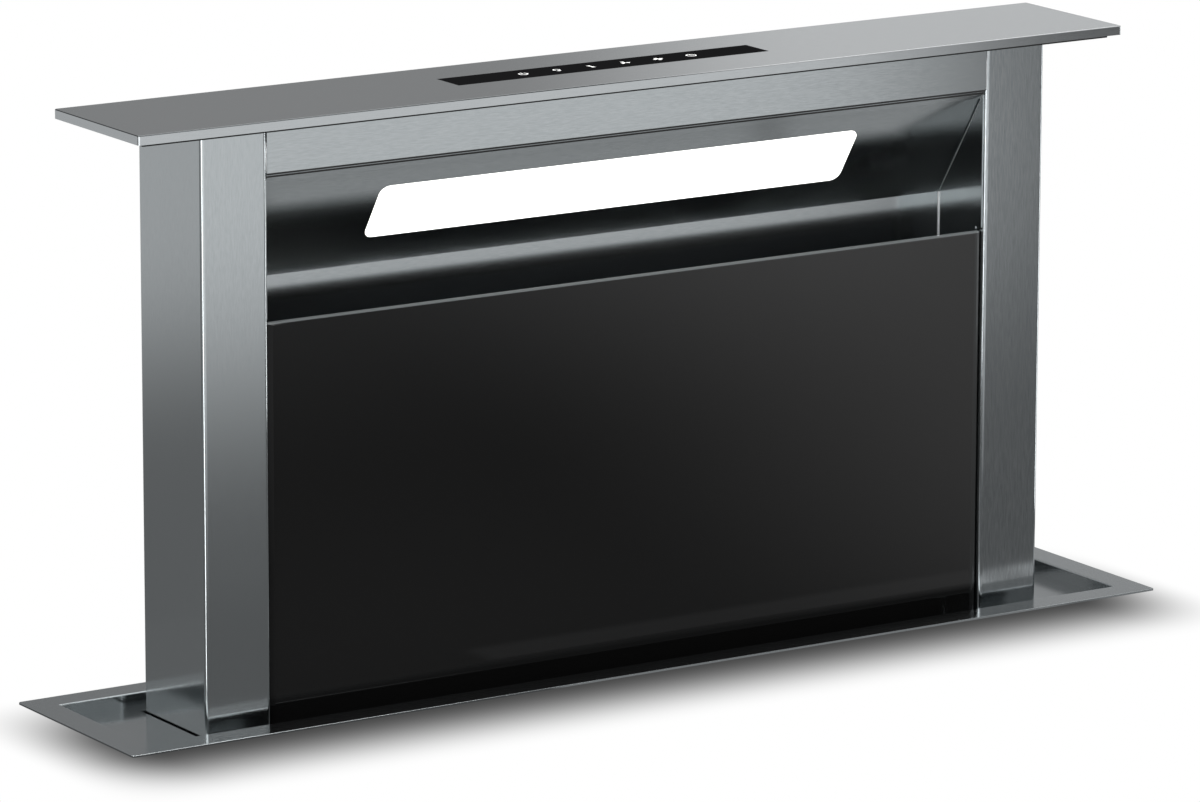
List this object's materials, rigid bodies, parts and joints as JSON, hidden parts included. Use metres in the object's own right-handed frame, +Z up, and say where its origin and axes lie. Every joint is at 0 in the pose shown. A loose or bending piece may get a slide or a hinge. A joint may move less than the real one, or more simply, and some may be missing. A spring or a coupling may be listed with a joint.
{
  "type": "downdraft vent",
  "caption": "Pop-up worktop downdraft vent with glass filter door, lit intake pocket, touch strip, twin-screw lift and under-worktop fan housing.",
  "frame": {"origin": "centre of the worktop cut-out, on the worktop's top face under the rim's gasket", "axes": "+X along the rim to the right seen from the cooktop, +Y away from the cooktop, +Z up"},
  "size_m": [0.929, 0.333, 1.1555],
  "materials": {
    "brushed_steel": "brushed",
    "black_glass": "gloss",
    "lamp_diffuser": "satin",
    "galvanised_sheet": "zinc coated",
    "aluminium": "satin",
    "bright_steel": "ground",
    "bronze": "machined",
    "black_plastic": "matt",
    "wheel_plastic": "matt",
    "motor_paint": "satin",
    "rubber": "matt",
    "foam": "foam",
    "circuit_board": "solder mask"
  },
  "bodies": {
    "housing": {"rim_frame": "brushed_steel", "worktop_gasket": "foam", "housing_front": "galvanised_sheet", "housing_back": "galvanised_sheet", "housing_left": "galvanised_sheet", "housing_right": "galvanised_sheet", "housing_floor": "galvanised_sheet", "foot_rails": "galvanised_sheet", "worktop_clamps": "galvanised_sheet", "clamp_screws": "bright_steel", "drive_beam": "galvanised_sheet", "guide_rails": "galvanised_sheet", "upper_bearings": "bright_steel", "lower_bearings": "bright_steel", "timing_belt": "rubber", "lift_motor": "motor_paint", "limit_switches": "black_plastic", "scroll_case": "galvanised_sheet", "scroll_cover": "galvanised_sheet", "blower_motor": "motor_paint", "outlet_spigot": "galvanised_sheet", "flap_pin": "bright_steel", "power_box": "black_plastic", "power_box_cover": "black_plastic", "cable_gland": "black_plastic"},
    "tower": {"top_plate": "brushed_steel", "plate_tray": "galvanised_sheet", "plate_seal": "rubber", "touch_strip": "black_glass", "touch_box": "black_plastic", "column_left": "brushed_steel", "column_right": "brushed_steel", "header_panel": "brushed_steel", "pocket_sheet": "brushed_steel", "cheek_left": "brushed_steel", "cheek_right": "brushed_steel", "lamp_lens": "lamp_diffuser", "lamp_housing": "aluminium", "led_board": "circuit_board", "rear_panel": "brushed_steel", "lower_frame": "galvanised_sheet", "drip_trough": "brushed_steel", "filter_cradle": "galvanised_sheet", "filter_frame_left": "aluminium", "filter_frame_right": "aluminium", "filter_meshes": "aluminium", "hinge_brackets": "galvanised_sheet", "hinge_pins": "bright_steel", "door_catches": "black_plastic", "carriages": "black_plastic", "lift_nuts": "bronze"},
    "glass_door": {"glass_panel": "black_glass", "door_backing": "motor_paint"},
    "screw_left": {"lead_screw_left": "bright_steel", "screw_pulley_left": "black_plastic"},
    "screw_right": {"lead_screw_right": "bright_steel", "screw_pulley_right": "black_plastic"},
    "fan_wheel": {"impeller": "wheel_plastic"},
    "flap": {"backflow_flap": "galvanised_sheet"}
  },
  "joints": [
    {"name": "tower_lift", "type": "slide", "parent": "housing", "child": "tower", "axis": [0, 0, 1], "range_m": [-0.453, 0]},
    {"name": "door_unhook", "type": "slide", "parent": "tower", "child": "glass_door", "axis": [0, 0, 1], "range_m": [0, 0.008]},
    {"name": "screw_turn_left", "type": "hinge", "parent": "housing", "child": "screw_left", "pos_m": [-0.4, 0, -0.3], "axis": [0, 0, 1], "range_deg": [0, 16320]},
    {"name": "screw_turn_right", "type": "hinge", "parent": "housing", "child": "screw_right", "pos_m": [0.4, 0, -0.3], "axis": [0, 0, 1], "range_deg": [0, 16320]},
    {"name": "fan_spin", "type": "hinge", "parent": "housing", "child": "fan_wheel", "pos_m": [0, -0.11, -0.3], "axis": [0, 1, 0], "continuous": true},
    {"name": "flap_swing", "type": "hinge", "parent": "housing", "child": "flap", "pos_m": [0.2275, -0.143, -0.381], "axis": [0, -1, 0], "range_deg": [0, 80]}
  ],
  "couplings": [
    {"joint": "screw_turn_left", "follows": "tower_lift", "rad_per_m": -628.32},
    {"joint": "screw_turn_right", "follows": "tower_lift", "rad_per_m": -628.32}
  ]
}
